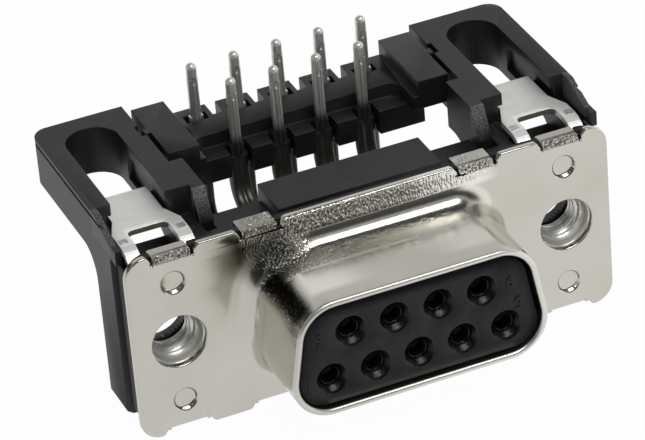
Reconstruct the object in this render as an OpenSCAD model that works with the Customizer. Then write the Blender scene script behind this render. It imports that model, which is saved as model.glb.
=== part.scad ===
// Right-angle nine-way D-sub socket connector with plastic board brackets.
// Millimetres. x runs along the flange, y runs from the flange face to the rear,
// z runs up towards the circuit board. The origin is on the flange face,
// midway between the two jack screw holes.

/* [Front shell] */
// distance between the two jack screw holes
hole_spacing = 24.99; // [20:0.01:70]
// distance from a jack screw hole to the flange end
flange_end = 2.905; // [2.6:0.005:4]
// flange height
flange_height = 12.4; // [11:0.1:16]
// flange corner radius
flange_corner = 1.3; // [0.5:0.1:3]
// thickness of the drawn steel sheet
sheet = 0.4; // [0.3:0.05:0.6]
// radius of the jack screw holes in the flange
flange_hole_r = 1.7; // [1.5:0.05:2.5]
// height of the drawn D outside
shell_height = 7.9; // [7:0.05:9]
// half width of the D outside on the centre line
shell_half_width = 7.95; // [7:0.01:40]
// outside corner radius of the D
shell_corner = 2.5; // [1.5:0.1:3.5]
// slope of the D side walls in degrees
side_angle = 10; // [5:0.5:15]
// how far the D stands out from the flange face
shell_depth = 6.35; // [5:0.05:8]
// outside bend radius where the D meets the flange
root_radius = 1.6; // [0.5:0.05:2]
// radius of the rim edge of the D
rim_radius = 0.2; // [0.05:0.01:0.2]

/* [Clinch tabs and dimples] */
// distance of the outer clinch tabs inside the jack screw holes
outer_tab_offset = 0.095; // [0:0.005:0.15]
// width of the outer clinch tabs
outer_tab_width = 2.3; // [1:0.05:4]
// how far back the outer clinch tabs reach
outer_tab_reach = 1.2; // [0.8:0.05:1.6]
// distance of the inner clinch tabs from the middle
inner_tab_x = 6.9; // [5:0.05:30]
// width of the inner clinch tabs
inner_tab_width = 2.2; // [1:0.05:4]
// how far back the inner clinch tabs reach
inner_tab_reach = 1.6; // [0.8:0.05:2]
// outside bend radius of the clinch tabs
tab_bend = 0.45; // [0.42:0.01:0.8]
// how far the bent tabs sit inside the flange edge
tab_drop = 0.25; // [0:0.05:0.5]
// width of the relief notch beside each tab
notch_width = 0.3; // [0.2:0.02:0.6]
// how far the relief notch reaches past the tab bend
notch_past = 0.08; // [0.02:0.02:0.3]
// slope at the open end of each relief notch
notch_slope = 0.3; // [0.1:0.05:0.5]
// radius of the pressed dimples
dimple_r = 0.72; // [0.4:0.01:1]
// height of the dimples above and below the hole line
dimple_z = 4.06; // [3:0.01:5]
// depth of the dimples
dimple_depth = 0.25; // [0.1:0.01:0.3]

/* [Socket insulator] */
// gap between the insulator and the shell at the sides
insulator_side_gap = 0.25; // [0.1:0.01:0.5]
// gap between the insulator and the shell at the top
insulator_top_gap = 0.5; // [0.1:0.05:1]
// gap between the insulator and the shell at the bottom
insulator_bottom_gap = 0.7; // [0.1:0.05:1]
// corner radius of the insulator face
insulator_corner = 1.35; // [0.5:0.05:2]
// how far the insulator face sits inside the rim
face_recess = 0.37; // [0.1:0.01:1]
// thickness of the insulator plate behind the flange
plate_thickness = 0.5; // [0.4:0.05:1]
// how far the insulator plate ends short of the flange ends
plate_end_inset = 0.3; // [0.2:0.05:1]
// how far the plate edges sit inside the flange edges
plate_edge_inset = 0.2; // [0.1:0.05:0.6]
// spare room round the clinch tabs
plate_tab_clearance = 0.05; // [0.02:0.01:0.2]
// radius of the contact hole mouths
mouth_r = 1.03; // [0.8:0.01:1.2]
// depth of the funnel in each hole mouth
funnel_depth = 0.5; // [0.3:0.05:1]
// radius of the pin entry hole
entry_r = 0.62; // [0.5:0.01:0.8]
// depth at which the contact barrels start
entry_depth = 0.9; // [0.6:0.05:1.5]

/* [Contacts] */
// contact pitch along a row
pitch = 2.77; // [2:0.01:3]
// distance between the two rows
row_gap = 2.84; // [2:0.01:3]
// outside radius of the socket barrel
barrel_r = 0.85; // [0.7:0.01:1]
// bore radius of the socket barrel
barrel_bore_r = 0.52; // [0.4:0.01:0.7]
// depth of the socket bore
barrel_bore_depth = 4.8; // [3:0.1:5.5]
// depth of the lead-in at the barrel mouth
barrel_lead = 0.2; // [0.05:0.05:0.3]
// running clearance round the contacts
contact_clearance = 0.05; // [0.02:0.01:0.15]
// radius of the two folds that make the contact leg
fold_r = 0.35; // [0.2:0.01:0.45]
// distance of each fold from the leg centre
fold_offset = 0.3; // [0.1:0.01:0.4]
// centre-line bend radius of the contact leg
leg_bend = 1.75; // [1:0.05:2.5]
// rear distance of the front row of tails
front_row_y = 10.3; // [8:0.01:12]
// rear distance of the back row of tails
back_row_y = 13.14; // [11:0.01:15]
// height at which the wide leg stops in the front row
front_leg_top = 4.7; // [4:0.05:5.2]
// height at which the wide leg stops in the back row
back_leg_top = 5.6; // [5:0.05:6]
// half width of the shoulder where the leg narrows
shoulder_half = 0.42; // [0.35:0.01:0.6]
// height of the tail tips
tail_tip_z = 9.97; // [8.5:0.01:12]
// half width of a tail
tail_half = 0.32; // [0.2:0.01:0.4]
// half depth of the tail core between the ribs
tail_core = 0.2; // [0.1:0.01:0.3]
// half width of each tail rib
rib_half = 0.09; // [0.05:0.01:0.12]
// distance of the side ribs from the tail centre
rib_offset = 0.225; // [0.15:0.005:0.3]
// plain length at the tail tip
tail_plain = 1.05; // [0.5:0.05:2]

/* [Rear housing] */
// gap between the housing block and the brackets
housing_gap = 0.05; // [0.02:0.01:0.2]
// top of the housing block
housing_top = 4.85; // [4:0.05:5.5]
// bottom of the housing block
housing_bottom = -5.45; // [-5.45:0.05:-4]
// rear face of the housing
housing_rear = 4.54; // [4:0.02:6]
// half length of the raised bar
bar_half = 5.2; // [3:0.05:7]
// top of the raised bar
bar_top = 6; // [5:0.05:7]
// front face of the raised bar
bar_front = 1.3; // [1:0.05:2]

/* [Brackets] */
// height of the board seat
seat_z = 7.2; // [6.5:0.05:9]
// rear end of the bracket arms
arm_rear = 15.1; // [14:0.05:18]
// underside of the bracket arms
arm_bottom = 4.05; // [3.5:0.05:5]
// corner radius at the outer rear end of an arm
arm_outer_corner = 1; // [0.3:0.1:2]
// hole centre to the inner side of an arm at its rear end
arm_inner_reach = 2.995; // [2.5:0.005:3.5]
// hole centre to the inner side of an arm inside the side notch
arm_notch_reach = 2.745; // [2.4:0.005:3.2]
// rear end of the side notch
notch_rear = 12.4; // [11:0.05:13]
// front end of the side notch
notch_front = 11.2; // [10:0.05:12]
// hole centre to the inner side of an arm in front of the side notch
arm_middle_reach = 3.095; // [2.6:0.005:3.6]
// where the arm steps in towards the housing
step_y = 7.7; // [6:0.05:9]
// hole centre to the inner side of an arm beside the housing
arm_front_inner_reach = 3.945; // [3.5:0.005:4.4]
// half width of the board screw slot
slot_half = 1.64; // [1.4:0.01:2]
// centre of the round rear end of the slot
slot_end_y = 12.1; // [10:0.05:13]
// floor of the slot where it crosses the leg
saddle_z = 3.6; // [2.5:0.05:4.5]
// depth of the strap grooves in the slot walls
groove_depth = 0.3; // [0.1:0.05:0.5]
// bottom of the strap grooves
groove_bottom = 4.7; // [4.2:0.05:5.4]
// top of the strap grooves
groove_top = 6.4; // [5.9:0.05:6.8]
// rear end of the strap grooves
groove_rear = 11; // [8.5:0.1:12]
// rear face of the bracket leg
leg_rear = 5.1; // [4:0.05:6]
// front edge of the full width leg side
leg_side_front = 2.3; // [1.5:0.05:3]
// underside of the bracket leg
leg_bottom = -5.6; // [-6:0.05:-4]
// height where the chamfer under the leg side starts
leg_chamfer_z = -5.35; // [-5.5:0.05:-3]
// bend radius under the arm where it joins the leg
arm_fillet = 1.75; // [0.5:0.05:2.5]
// inner rail front end
rail_front = 4.7; // [4:0.05:5.5]
// front end of the inner strip at the seat
strip_front = 4.15; // [3.5:0.05:5]
// front end of the sloping strip at its foot
strip_foot = 3.2; // [2:0.05:4]
// top of the low ledge in front of the strip
ledge_z = 5.3; // [4.5:0.05:5.6]
// hole centre to the inner side of the strap pocket
pocket_reach = 2.295; // [2.26:0.005:2.6]
// thickness of the thin outer wall
thin_wall = 0.4; // [0.3:0.05:0.6]
// front end of the thick outer wall
outer_wall_front = 5; // [4:0.05:6]
// top of the thin outer wall's front ear
ear_top = 6.35; // [5.5:0.05:7]
// underside of the ear
ear_bottom = 5.4; // [4.5:0.05:6]
// front end of the ear
ear_front = 1.25; // [1:0.05:2]
// where the thin outer wall starts to slope down
ear_slope_y = 4.3; // [3.5:0.05:5]
// height of the thin line moulded along the arm side
side_line_z = 6.8; // [6:0.05:7]
// half height of the thin moulded line
side_line_half = 0.08; // [0.04:0.01:0.2]
// depth of the thin moulded line
side_line_depth = 0.14; // [0.05:0.01:0.3]
// clear hole behind the threaded insert
rear_hole_r = 1.6; // [1.4:0.05:2]
// rear end of that clear hole
rear_hole_end = 4.2; // [3.6:0.05:5]
// wide recess in the rear face of the leg
rear_recess_r = 2.6; // [2:0.05:2.8]

/* [Straps] */
// thickness of the strap sheet
strap_sheet = 0.4; // [0.3:0.05:0.6]
// top of the strap
strap_top = 5.85; // [5.5:0.05:6.3]
// half width of the strap inside the slot
strap_half = 1.6; // [1.2:0.01:1.64]
// rear end of the strap
strap_rear = 7.9; // [6:0.05:9]
// where the strap starts to widen
strap_neck = 5.2; // [4.5:0.05:6]
// where the strap reaches its full width
strap_shoulder = 3.8; // [3:0.05:4.5]
// half width of the wide part of the strap
strap_wide = 2.17; // [1.8:0.01:2.25]
// outside radius of the strap bend
strap_bend = 1.8; // [1:0.05:2.2]
// half width of the strap window
window_half = 1.25; // [0.8:0.05:1.5]
// rear edge of the strap window
window_rear = 3.8; // [3:0.05:4.2]
// lower edge of the strap window
window_bottom = 3.2; // [2.9:0.05:4]
// corner radius of the strap window
window_corner = 0.4; // [0.1:0.05:0.6]
// spare room round the strap leg in its pocket
strap_clearance = 0.08; // [0.03:0.01:0.2]
// how far the strap leg reaches below the insert
strap_foot = 0.9; // [0.5:0.05:1.5]

/* [Threaded inserts] */
// thread radius of the 4-40 insert
thread_r = 1.42; // [1.2:0.01:1.8]
// barrel radius of the insert
insert_r = 2; // [1.8:0.05:2.4]
// collar radius of the insert
collar_r = 2.35; // [2.2:0.05:2.6]
// radius of the smooth mouth of the insert
counterbore_r = 1.65; // [1.5:0.05:1.7]
// depth of the smooth mouth
counterbore_depth = 0.6; // [0.2:0.05:1]
// rear end of the insert
insert_rear = 3.1; // [2.5:0.05:4]
// press clearance round the insert
insert_clearance = 0.04; // [0.02:0.01:0.1]

/* [Pin spacer] */
// rear edge of the spacer
spacer_rear = 14.37; // [13.5:0.01:15]
// top of the middle plate
plate_z = 6.2; // [5.8:0.05:6.8]
// underside of the middle plate and top of the low ledge
low_ledge_z = 5.3; // [4.8:0.05:5.8]
// underside of the spacer
spacer_bottom = 3.7; // [3:0.05:4.5]
// half width of the lower body
spacer_body_half = 7.84; // [7:0.02:8.4]
// front of the low ledge
low_ledge_front = 9.5; // [8.8:0.05:10]
// front edge of the middle plate
plate_front = 10.9; // [10.7:0.05:12]
// half length of the recess in front of the middle plate
recess_half = 6.75; // [5:0.05:7]
// corner radius of that recess
recess_corner = 0.8; // [0.3:0.05:1.5]
// front of the end blocks
block_front = 8.5; // [7.8:0.05:9]
// inner side of the end blocks
block_inner = 7.1; // [6.8:0.05:7.6]
// gap between the end blocks and the bracket arms
block_gap = 0.3; // [0.05:0.05:0.5]
// rear end of the bump
bump_rear = 11.9; // [11.3:0.05:12.3]
// front end of the bump
bump_front = 11.3; // [10.5:0.05:11.5]
// half width of the rear notches
rear_notch_half = 0.33; // [0.2:0.01:0.5]
// front end of the rear notches
rear_notch_front = 13; // [12:0.05:13.5]

/* [Hidden] */
$fn = 48;
eps = 0.01;
far = 40;
root_margin = 0.2;
tab_root = 0.15;
lap = 0.1;
lap_skin = 0.008;
d_tuck = 0.004;
seat_gap = 0.01;

hole_x = hole_spacing / 2;
half_length = hole_x + flange_end;
outer_tab_x = hole_x - outer_tab_offset;
half_height = flange_height / 2;
plate_y = sheet + seat_gap;
plate_back = sheet + plate_thickness;
strap_back = plate_back + strap_sheet;
tab_top = half_height - tab_drop;
tab_foot = tab_top - tab_bend;
plate_half_height = half_height - plate_edge_inset;
tab_room = tab_top - sheet - plate_tab_clearance;
plate_half_length = half_length - plate_end_inset;
row_z = row_gap / 2;
cavity_r = barrel_r + contact_clearance;
shell_half_height = shell_height / 2;
insulator_front = -shell_depth + face_recess;
barrel_front = insulator_front + entry_depth;
collar_hole_r = collar_r + insert_clearance;
insert_hole_r = insert_r + insert_clearance;
leg_half = fold_offset + fold_r;
slot_for_leg_x = leg_half + contact_clearance;
slot_for_leg_y = fold_r + contact_clearance;
strap_leg_end = -(insert_r + strap_foot);
strap_bend_y = plate_back + strap_bend;
strap_floor = strap_top - strap_sheet - strap_clearance;
strap_bend_z = strap_top - strap_bend;
arm_inner = hole_x - arm_inner_reach;
arm_notch = hole_x - arm_notch_reach;
arm_middle = hole_x - arm_middle_reach;
arm_front_inner = hole_x - arm_front_inner_reach;
pocket_inner = hole_x - pocket_reach;
thin_wall_inner = half_length - thin_wall;
housing_half = arm_front_inner - housing_gap;
block_outer = arm_inner - block_gap;
block_bump = arm_notch - block_gap;
block_outer_front = arm_middle - block_gap;
tail_r = tail_half + 0.02;

nickel = [0.78, 0.77, 0.74];
black_plastic = [0.09, 0.09, 0.09];
strap_grey = [0.72, 0.72, 0.7];
zinc = [0.66, 0.66, 0.64];
gold = [0.83, 0.62, 0.28];

// ---------- general shapes ----------

module along_y(y0, y1) {
    translate([0, y1, 0])
        rotate([90, 0, 0])
            linear_extrude(y1 - y0)
                children();
}

module along_z(z0, z1) {
    translate([0, 0, z0])
        linear_extrude(z1 - z0)
            children();
}

module along_x(x0, x1) {
    translate([x0, 0, 0])
        rotate([90, 0, 90])
            linear_extrude(x1 - x0)
                children();
}

module box(x0, x1, y0, y1, z0, z1) {
    translate([x0, y0, z0])
        cube([x1 - x0, y1 - y0, z1 - z0]);
}

module span(x0, x1, y0, y1) {
    translate([x0, y0])
        square([x1 - x0, y1 - y0]);
}

module rounded_span(x0, x1, y0, y1, r) {
    span(x0 + r, x1 - r, y0, y1);
    span(x0, x1, y0 + r, y1 - r);
    for (x = [x0 + r, x1 - r])
        for (y = [y0 + r, y1 - r])
            translate([x, y])
                circle(r);
}

module hole_y(x, z, r, y0, y1) {
    translate([x, y1, z])
        rotate([90, 0, 0])
            cylinder(h = y1 - y0, r = r);
}

module cone_y(x, z, r0, r1, y0, y1) {
    translate([x, y0, z])
        rotate([-90, 0, 0])
            cylinder(h = y1 - y0, r1 = r0, r2 = r1);
}

module on_side(side) {
    if (side < 0)
        mirror([1, 0, 0])
            children();
    else
        children();
}

// ---------- D outline ----------

side_normals = [side_angle, 90, 180 - side_angle, 270];

function d_x(z, r, w) = w - tan(side_angle) * (z + r * sin(side_angle)) - r * cos(side_angle);

function d_centres(top, bottom, r, w) = [
    [d_x(bottom + r, r, w), bottom + r],
    [d_x(top - r, r, w), top - r],
    [-d_x(top - r, r, w), top - r],
    [-d_x(bottom + r, r, w), bottom + r]
];

shell_centres = d_centres(shell_half_height, -shell_half_height, shell_corner, shell_half_width);

insulator_centres = d_centres(
    shell_half_height - sheet - insulator_top_gap,
    -shell_half_height + sheet + insulator_bottom_gap,
    insulator_corner,
    shell_half_width - (sheet + insulator_side_gap) / cos(side_angle)
);

function on_circle(c, r, a) = [c[0] + r * cos(a), c[1] + r * sin(a)];

module d_shape(centres, r) {
    polygon([
        for (i = [0:3])
            for (k = [0:1])
                on_circle(centres[i], r - d_tuck, side_normals[(i + 3 + k) % 4])
    ]);
    for (c = centres)
        translate(c)
            circle(r);
}

module shell_section(skin) {
    // u runs outwards from the D outside, v runs forward from the flange face
    span(-sheet - skin, skin, root_radius, shell_depth - rim_radius);
    span(-sheet - skin, -rim_radius, shell_depth - rim_radius - eps, shell_depth + skin);
    translate([-rim_radius, shell_depth - rim_radius])
        circle(rim_radius + skin);
    intersection() {
        translate([root_radius, root_radius])
            difference() {
                circle(root_radius + sheet + skin);
                circle(root_radius - skin);
            }
        span(-sheet - skin, root_radius, -sheet - skin, root_radius);
    }
    span(root_radius - eps, root_radius + root_margin + 10 * skin, -sheet - skin, skin);
}

module drawn_d() {
    // four corner sweeps, and four straight runs that just cover their ends
    rotate([90, 0, 0])
        for (i = [0:3]) {
            start = side_normals[(i + 3) % 4];
            turn = (side_normals[i] - start + 360) % 360;
            next = shell_centres[(i + 1) % 4];
            translate([shell_centres[i][0], shell_centres[i][1], 0])
                rotate([0, 0, start])
                    rotate_extrude(angle = turn)
                        translate([shell_corner, 0])
                            shell_section(0);
            translate([next[0], next[1], 0])
                rotate([0, 0, side_normals[i]])
                    translate([shell_corner, lap, 0])
                        rotate([90, 0, 0])
                            linear_extrude(norm(next - shell_centres[i]) + 2 * lap)
                                shell_section(lap_skin);
        }
}

// ---------- front shell ----------

tabs = [
    [outer_tab_x, outer_tab_width, outer_tab_reach],
    [inner_tab_x, inner_tab_width, inner_tab_reach]
];

module tab_section(reach) {
    intersection() {
        translate([tab_bend, tab_foot])
            difference() {
                circle(tab_bend);
                circle(tab_bend - sheet);
            }
        span(0, tab_bend, tab_foot, tab_top);
    }
    span(tab_bend - eps, reach, tab_top - sheet, tab_top);
    span(0, sheet, tab_foot - tab_root, tab_foot + eps);
}

module tab_recess(tab) {
    // cut in the top edge of the flange: the tab foot, a notch beside it and a sloping mouth
    foot = tab[1] / 2;
    notch = foot + notch_width;
    mouth = notch + notch_slope + eps;
    deep = tab_foot - notch_past;
    polygon([
        [-mouth, half_height + eps], [-notch, half_height - notch_slope], [-notch, deep],
        [-foot, deep], [-foot, tab_foot], [foot, tab_foot], [foot, deep],
        [notch, deep], [notch, half_height - notch_slope], [mouth, half_height + eps]
    ]);
}

module flange_outline() {
    difference() {
        rounded_span(-half_length, half_length, -half_height, half_height, flange_corner);
        d_shape(shell_centres, shell_corner + root_radius + root_margin / 2);
        for (side = [-1, 1]) {
            translate([side * hole_x, 0])
                circle(flange_hole_r);
            for (end = [0, 1])
                mirror([0, end])
                    for (tab = tabs)
                        translate([side * tab[0], 0])
                            tab_recess(tab);
        }
    }
}

module front_shell() {
    color(nickel)
        difference() {
            union() {
                drawn_d();
                along_y(0, sheet)
                    flange_outline();
                for (side = [-1, 1])
                    for (end = [0, 1])
                        mirror([0, 0, end])
                            for (tab = tabs)
                                along_x(side * tab[0] - tab[1] / 2, side * tab[0] + tab[1] / 2)
                                    tab_section(tab[2]);
                for (x = [-hole_x, hole_x])
                    for (z = [-dimple_z, dimple_z])
                        hole_y(x, z, dimple_r, sheet / 2, sheet + dimple_depth);
            }
            for (x = [-hole_x, hole_x])
                for (z = [-dimple_z, dimple_z])
                    hole_y(x, z, dimple_r, -eps, dimple_depth);
        }
}

// ---------- insulator and housing ----------

module contact_holes(r, y0, y1) {
    for (i = [1:9])
        hole_y(contact_x(i), contact_z(i), r, y0, y1);
}

function contact_x(i) = i < 6 ? (i - 3) * pitch : (i - 7.5) * pitch;
function contact_z(i) = i < 6 ? -row_z : row_z;
function contact_y(i) = i < 6 ? back_row_y : front_row_y;

module plate_outline() {
    rounded_span(-plate_half_length, plate_half_length,
                 -plate_half_height, plate_half_height, flange_corner);
}

module tab_spaces() {
    // room for the bent tabs in whatever lies behind the flange
    for (side = [-1, 1])
        for (tab = tabs)
            for (end = [-1, 1]) {
                x = side * tab[0];
                w = tab[1] / 2 + plate_tab_clearance;
                z = end * (tab_room + far / 2);
                box(x - w, x + w, -far, tab[2] + plate_tab_clearance,
                    z - far / 2, z + far / 2);
            }
}

module socket_insulator() {
    color(black_plastic)
        difference() {
            union() {
                along_y(insulator_front, plate_back)
                    d_shape(insulator_centres, insulator_corner);
                along_y(plate_y, plate_back)
                    plate_outline();
            }
            for (i = [1:9])
                cone_y(contact_x(i), contact_z(i), mouth_r, entry_r,
                       insulator_front, insulator_front + funnel_depth);
            contact_holes(entry_r, insulator_front - eps, barrel_front + eps);
            contact_holes(cavity_r, barrel_front, plate_back + eps);
            tab_spaces();
            for (x = [-hole_x, hole_x]) {
                hole_y(x, 0, collar_hole_r, plate_y - eps, plate_back + eps);
                for (z = [-dimple_z, dimple_z])
                    hole_y(x, z, dimple_r + contact_clearance, plate_y - eps, plate_back + eps);
            }
        }
}

module rear_housing() {
    color(black_plastic)
        difference() {
            union() {
                box(-housing_half, housing_half, plate_back, housing_rear,
                    housing_bottom, housing_top);
                box(-bar_half, bar_half, bar_front, housing_rear, housing_top - eps, bar_top);
            }
            for (i = [1:9])
                box(contact_x(i) - slot_for_leg_x, contact_x(i) + slot_for_leg_x,
                    plate_back - eps, housing_rear + eps,
                    contact_z(i) - slot_for_leg_y, contact_z(i) + slot_for_leg_y);
        }
}

// ---------- contacts ----------

module fold_section() {
    // first axis across the thickness, second along the width
    for (s = [-1, 1])
        translate([0, s * fold_offset])
            circle(fold_r);
    span(-fold_r * 0.7, fold_r * 0.7, -fold_offset, fold_offset);
}

module contact(i) {
    y_leg = contact_y(i);
    z_run = contact_z(i);
    leg_top = i < 6 ? back_leg_top : front_leg_top;
    ribs_top = tail_tip_z - tail_plain;
    translate([contact_x(i), 0, 0]) {
        difference() {
            hole_y(0, z_run, barrel_r, barrel_front, plate_back);
            hole_y(0, z_run, barrel_bore_r, barrel_front - eps, barrel_front + barrel_bore_depth);
            cone_y(0, z_run, barrel_bore_r + barrel_lead, barrel_bore_r,
                   barrel_front - eps, barrel_front + barrel_lead);
        }
        translate([0, 0, z_run])
            rotate([-90, 0, 0])
                along_z(plate_back - eps, y_leg - leg_bend)
                    rotate(90)
                        fold_section();
        translate([0, y_leg - leg_bend, z_run + leg_bend])
            rotate([0, 0, 90])
                rotate([90, 0, 0])
                    rotate([0, 0, -90])
                        rotate_extrude(angle = 90)
                            translate([leg_bend, 0])
                                fold_section();
        translate([0, y_leg, 0])
            along_z(z_run + leg_bend, leg_top)
                rotate(90)
                    fold_section();
        translate([0, y_leg, 0]) {
            box(-shoulder_half, shoulder_half, -tail_core, tail_core,
                leg_top - eps, leg_top + 0.75);
            intersection() {
                union() {
                    box(-tail_half, tail_half, -tail_core, tail_core, leg_top, ribs_top);
                    for (x = [-rib_offset, 0, rib_offset])
                        box(x - rib_half, x + rib_half, -tail_half, tail_half, leg_top, ribs_top);
                }
                along_z(leg_top - eps, ribs_top + eps)
                    circle(tail_r);
            }
            along_z(ribs_top - eps, tail_tip_z - tail_half)
                circle(tail_half);
            translate([0, 0, tail_tip_z - tail_half])
                sphere(tail_half);
        }
    }
}

module contact_1() { color(gold) contact(1); }
module contact_2() { color(gold) contact(2); }
module contact_3() { color(gold) contact(3); }
module contact_4() { color(gold) contact(4); }
module contact_5() { color(gold) contact(5); }
module contact_6() { color(gold) contact(6); }
module contact_7() { color(gold) contact(7); }
module contact_8() { color(gold) contact(8); }
module contact_9() { color(gold) contact(9); }

// ---------- brackets ----------

module arm_plan() {
    r = arm_outer_corner;
    difference() {
        union() {
            span(arm_middle, half_length, plate_back, step_y + 1);
            span(arm_middle, half_length, step_y, notch_front);
            span(arm_notch, half_length, notch_front - eps, notch_rear + eps);
            span(arm_inner, half_length - r, notch_rear, arm_rear);
            span(arm_inner + r, half_length, notch_rear, arm_rear - r);
            translate([half_length - r, arm_rear - r])
                circle(r);
            span(arm_front_inner, arm_middle + eps, strip_foot, step_y);
        }
        span(hole_x - slot_half, hole_x + slot_half, -far, slot_end_y);
        translate([hole_x, slot_end_y])
            circle(slot_half);
    }
}

module leg_side() {
    // y across, z up: leg, bend under the arm and arm
    span(leg_side_front, leg_rear, leg_bottom, seat_z);
    span(leg_rear - eps, arm_rear, arm_bottom, seat_z);
    difference() {
        span(leg_rear - eps, leg_rear + arm_fillet, arm_bottom - arm_fillet, arm_bottom + eps);
        translate([leg_rear + arm_fillet, arm_bottom - arm_fillet])
            circle(arm_fillet);
    }
}

module bracket() {
    difference() {
        union() {
            // arm and leg, cut to the outline seen from the board
            intersection() {
                along_x(arm_front_inner, half_length)
                    leg_side();
                union() {
                    along_z(saddle_z, seat_z)
                        arm_plan();
                    box(arm_front_inner, half_length, 0, far, -far, saddle_z + eps);
                }
            }
            // front plate behind the insulator
            along_y(plate_back, leg_side_front + eps)
                intersection() {
                    plate_outline();
                    span(arm_front_inner, far, -far, ledge_z);
                }
        }
        tab_spaces();
        // room for the bend and for the wide part of the strap
        box(pocket_inner, thin_wall_inner, -far, strap_bend_y, saddle_z, far);
        box(pocket_inner, thin_wall_inner, -far, rail_front, strap_floor, far);
        box(hole_x, thin_wall_inner, rail_front - eps, outer_wall_front, strap_floor, far);
        // ledge in front of the inner rail and the sloping strip
        box(0, pocket_inner + eps, -far, strip_foot, ledge_z, far);
        box(arm_middle, pocket_inner + eps, -far, rail_front, ledge_z, far);
        along_x(0, arm_middle + eps)
            polygon([[strip_foot - eps, ledge_z], [strip_front, seat_z],
                     [strip_front, far], [strip_foot - 3, far], [strip_foot - 3, ledge_z]]);
        // front of the thin outer wall
        along_x(thin_wall_inner - eps, far)
            polygon([[0, ear_top], [leg_side_front, ear_top], [ear_slope_y, seat_z],
                     [ear_slope_y, far], [0, far]]);
        // strap grooves in the slot walls
        for (x = [hole_x - slot_half - groove_depth, hole_x + slot_half - eps])
            box(x, x + groove_depth + eps, rail_front - eps, groove_rear,
                groove_bottom, groove_top);
        // thin moulded line on the side of the arm
        box(half_length - side_line_depth, far, -far, far,
            side_line_z - side_line_half, side_line_z + side_line_half);
        // pocket for the strap leg
        box(hole_x - strap_wide - strap_clearance, hole_x + strap_wide + strap_clearance,
            plate_back - eps, strap_back, strap_leg_end - strap_clearance, far);
        // chamfer under the leg side
        along_y(leg_side_front, far)
            polygon([[half_length + eps, leg_chamfer_z],
                     [half_length - 1.1, leg_bottom - 0.5],
                     [half_length + 1, leg_bottom - 0.5]]);
        // room for the insert and the screw behind it
        hole_y(hole_x, 0, insert_hole_r, plate_back - eps, insert_rear);
        hole_y(hole_x, 0, rear_hole_r, insert_rear - eps, rear_hole_end + eps);
        hole_y(hole_x, 0, rear_recess_r, rear_hole_end, leg_rear + eps);
    }
    // ear at the front of the thin outer wall
    box(thin_wall_inner, half_length, ear_front, leg_side_front + eps, ear_bottom, ear_top);
    box(thin_wall_inner - eps, half_length, leg_side_front, outer_wall_front + eps,
        saddle_z, ear_bottom);
}

module left_bracket() { color(black_plastic) on_side(-1) bracket(); }
module right_bracket() { color(black_plastic) on_side(1) bracket(); }

// ---------- straps ----------

module strap_plan() {
    polygon([
        [-strap_half, strap_rear], [-strap_half, strap_neck], [-strap_wide, strap_shoulder],
        [-strap_wide, 0], [strap_wide, 0], [strap_wide, strap_shoulder],
        [strap_half, strap_neck], [strap_half, strap_rear]
    ]);
}

module strap_side() {
    span(strap_bend_y - eps, strap_rear, strap_top - strap_sheet, strap_top);
    span(plate_back, strap_back, strap_leg_end, strap_bend_z + eps);
    intersection() {
        translate([strap_bend_y, strap_bend_z])
            difference() {
                circle(strap_bend);
                circle(strap_bend - strap_sheet);
            }
        span(plate_back, strap_bend_y, strap_bend_z, strap_top);
    }
}

module strap() {
    translate([hole_x, 0, 0])
        difference() {
            intersection() {
                along_x(-strap_wide, strap_wide)
                    strap_side();
                along_z(-far, far)
                    strap_plan();
            }
            along_z(window_bottom, far)
                rounded_span(-window_half, window_half, -3, window_rear, window_corner);
            hole_y(0, 0, insert_hole_r, 0, strap_back + eps);
        }
}

module left_strap() { color(strap_grey) on_side(-1) strap(); }
module right_strap() { color(strap_grey) on_side(1) strap(); }

// ---------- threaded inserts ----------

module insert() {
    translate([hole_x, 0, 0])
        difference() {
            union() {
                hole_y(0, 0, collar_r, plate_y, plate_back);
                hole_y(0, 0, insert_r, plate_y, insert_rear);
            }
            hole_y(0, 0, counterbore_r, plate_y - eps, plate_y + counterbore_depth);
            hole_y(0, 0, thread_r, plate_y, insert_rear + eps);
        }
}

module left_insert() { color(zinc) on_side(-1) insert(); }
module right_insert() { color(zinc) on_side(1) insert(); }

// ---------- pin spacer ----------

module spacer_slots() {
    for (i = [1:5])
        span(contact_x(i) - slot_for_leg_x, contact_x(i) + slot_for_leg_x,
             back_row_y - slot_for_leg_y, back_row_y + slot_for_leg_y);
    for (i = [6:9]) {
        span(contact_x(i) - slot_for_leg_x, contact_x(i) + slot_for_leg_x,
             -far, front_row_y + slot_for_leg_y);
        span(contact_x(i) - rear_notch_half, contact_x(i) + rear_notch_half,
             rear_notch_front, far);
    }
}

module pin_spacer() {
    color(black_plastic) {
        difference() {
            union() {
                along_z(spacer_bottom, low_ledge_z)
                    span(-spacer_body_half, spacer_body_half, low_ledge_front, spacer_rear);
                along_z(low_ledge_z - eps, plate_z)
                    difference() {
                        span(-block_outer_front, block_outer_front, block_front, spacer_rear);
                        span(-recess_half + recess_corner, recess_half - recess_corner,
                             -far, plate_front);
                        span(-recess_half, recess_half, -far, plate_front - recess_corner);
                        for (side = [-1, 1])
                            translate([side * (recess_half - recess_corner),
                                       plate_front - recess_corner])
                                circle(recess_corner);
                    }
                for (side = [-1, 1])
                    on_side(side)
                        along_z(low_ledge_z, seat_z) {
                            span(block_inner, block_outer, bump_rear - eps, spacer_rear);
                            span(block_inner, block_bump, bump_front, bump_rear);
                            span(block_inner, block_outer_front, block_front, bump_front + eps);
                        }
            }
            along_z(-far, far)
                spacer_slots();
        }
    }
}

// ---------- parts ----------

front_shell();
socket_insulator();
rear_housing();
contact_1();
contact_2();
contact_3();
contact_4();
contact_5();
contact_6();
contact_7();
contact_8();
contact_9();
left_bracket();
right_bracket();
left_strap();
right_strap();
left_insert();
right_insert();
pin_spacer();
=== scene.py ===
"""Right-angle nine-way D-sub socket connector: finishes, fine detail, light and camera."""

import math

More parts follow.
